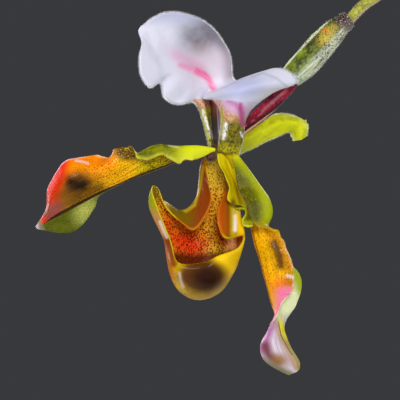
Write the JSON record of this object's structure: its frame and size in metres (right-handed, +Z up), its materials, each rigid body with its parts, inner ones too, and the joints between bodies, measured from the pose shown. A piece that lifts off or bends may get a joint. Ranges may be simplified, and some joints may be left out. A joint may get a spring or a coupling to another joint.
{
  "type": "potted slipper orchid",
  "caption": "Slipper orchid in flower: white hooded sepal, frilled twisted petals and an open pouch on an arching stem, with strap leaves in a plain clay pot.",
  "frame": {"origin": "centre of the pot's base, on the surface it stands on", "axes": "+Z up along the stem; the flower hangs towards -X and faces -Y and -X"},
  "size_m": [0.3288, 0.1418, 0.4045],
  "materials": {
    "clay": "plain fired clay, unglazed",
    "bark": "rough bark chips",
    "leaf": "living leaf, slightly waxy, midrib sunk",
    "stem": "finely hairy green stem",
    "ovary": "ribbed and velvety, crimson",
    "bract": "green bract with brown specks",
    "column": "dark purple, hairy",
    "dorsal_sepal": "white blade, crimson midvein, green base, downy margin",
    "petal": "glossy gold to red blade with brown dots and a dark midvein",
    "synsepal": "lime green, downy",
    "pouch": "glossy wall, brown toe, orange spotted inside"
  },
  "bodies": {
    "root": {"pot": "clay", "potting_mix": "bark", "leaf_1": "leaf", "leaf_2": "leaf", "leaf_3": "leaf", "leaf_4": "leaf", "leaf_5": "leaf", "leaf_6": "leaf", "flower_stem": "stem", "ovary": "ovary", "bract": "bract", "column": "column", "dorsal_sepal": "dorsal_sepal", "petal_left": "petal", "petal_right": "petal", "synsepal": "synsepal", "pouch": "pouch"}
  },
  "joints": []
}
